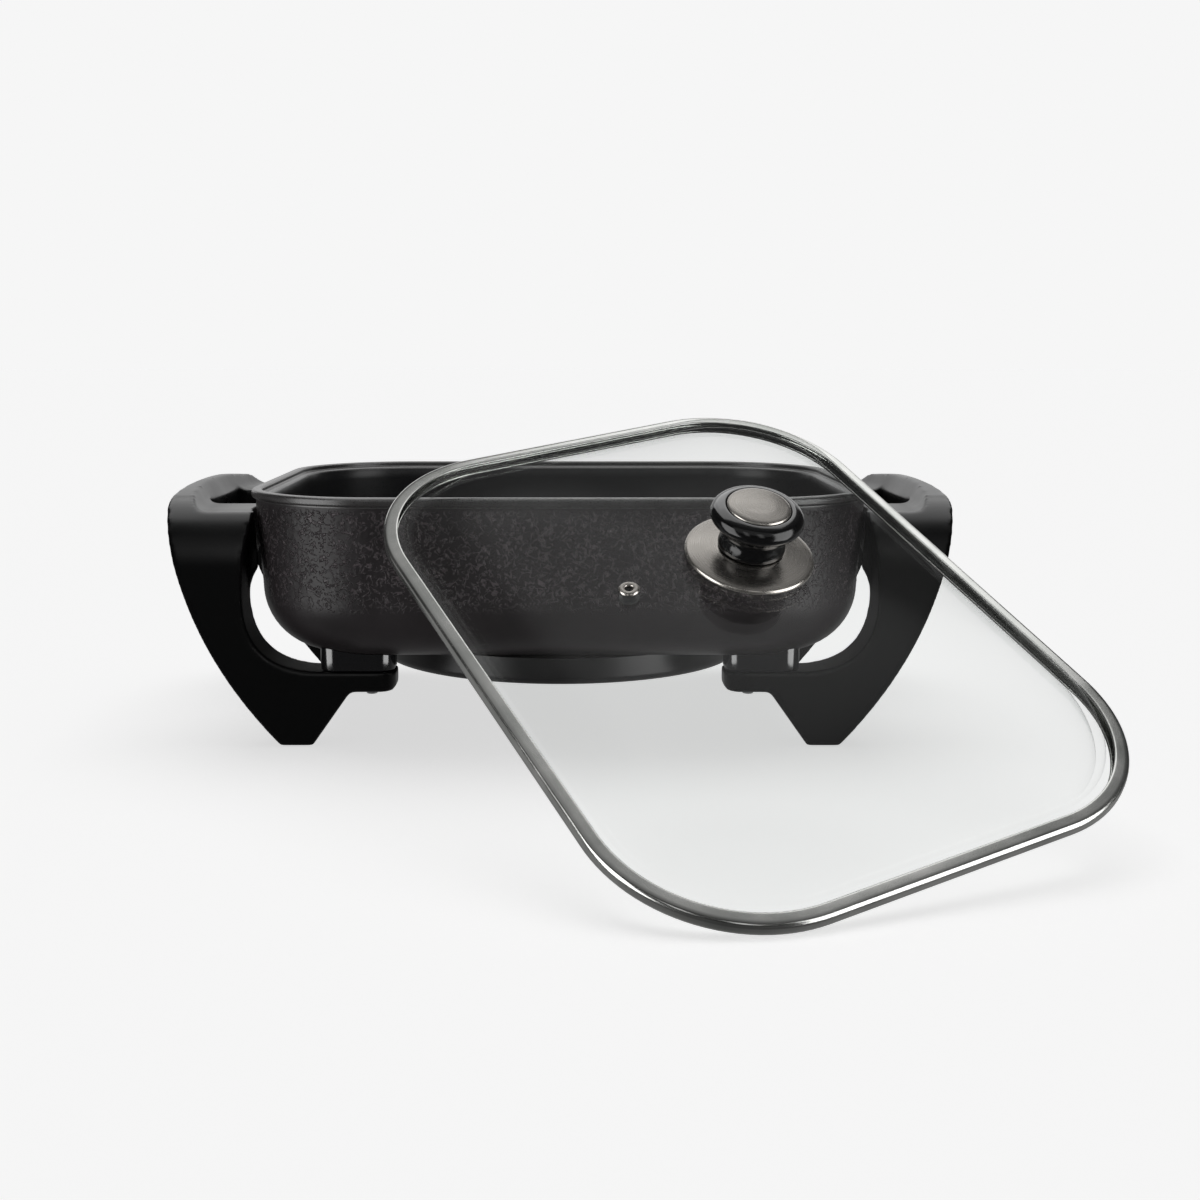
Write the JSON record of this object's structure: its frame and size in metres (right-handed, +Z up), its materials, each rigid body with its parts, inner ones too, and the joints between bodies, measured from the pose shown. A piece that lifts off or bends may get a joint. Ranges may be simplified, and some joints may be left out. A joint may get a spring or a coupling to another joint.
{
  "type": "electric skillet",
  "caption": "Deep rounded-rectangular electric skillet on two black handle-and-leg mouldings, with a domed glass lid leaning on the front of its rim.",
  "frame": {"origin": "on the table, at the centre of the footprint of the pan and the lid that leans in front of it", "axes": "+Z up, X along the pan from handle to handle, -Y towards the leaning lid, +X towards the electrical inlet"},
  "size_m": [0.5584, 0.6284, 0.2135],
  "materials": {
    "pan_coating": "satin black non-stick coating, hammered texture outside",
    "black_phenolic": "glossy moulded",
    "cover_enamel": "semi-gloss black",
    "steel_trim": "brushed",
    "plated_screws": "zinc plated",
    "brass_pins": "polished",
    "element_sheath": "heat darkened",
    "clear_glass": "clear tempered",
    "foot_rubber": "matte",
    "seal_silicone": "translucent matte"
  },
  "bodies": {
    "base": {"pan_body": "pan_coating", "handle_right": "black_phenolic", "handle_left": "black_phenolic", "leg_spacer_left_front": "black_phenolic", "leg_screw_left_front": "plated_screws", "foot_pad_left_front": "foot_rubber", "leg_spacer_right_front": "black_phenolic", "leg_screw_right_front": "plated_screws", "foot_pad_right_front": "foot_rubber", "leg_spacer_left_rear": "black_phenolic", "leg_screw_left_rear": "plated_screws", "foot_pad_left_rear": "foot_rubber", "leg_spacer_right_rear": "black_phenolic", "leg_screw_right_rear": "plated_screws", "foot_pad_right_rear": "foot_rubber", "heater_cover": "cover_enamel", "heating_element": "element_sheath", "cover_screw_1": "plated_screws", "cover_screw_2": "plated_screws", "cover_screw_3": "plated_screws", "inlet_shroud": "black_phenolic", "terminal_pin_front": "brass_pins", "terminal_pin_rear": "brass_pins", "sensor_guide_tube": "steel_trim"},
    "lid": {"lid_glass": "clear_glass", "lid_rim_band": "steel_trim", "knob_washer": "seal_silicone", "knob_base_plate": "steel_trim", "knob_body": "black_phenolic", "knob_cap": "steel_trim", "knob_screw": "plated_screws", "vent_grommet": "steel_trim"}
  },
  "joints": [
    {"name": "lid_lift", "type": "slide", "parent": "base", "child": "lid", "axis": [0, 0, 1], "range_m": [0, 0.22]}
  ]
}
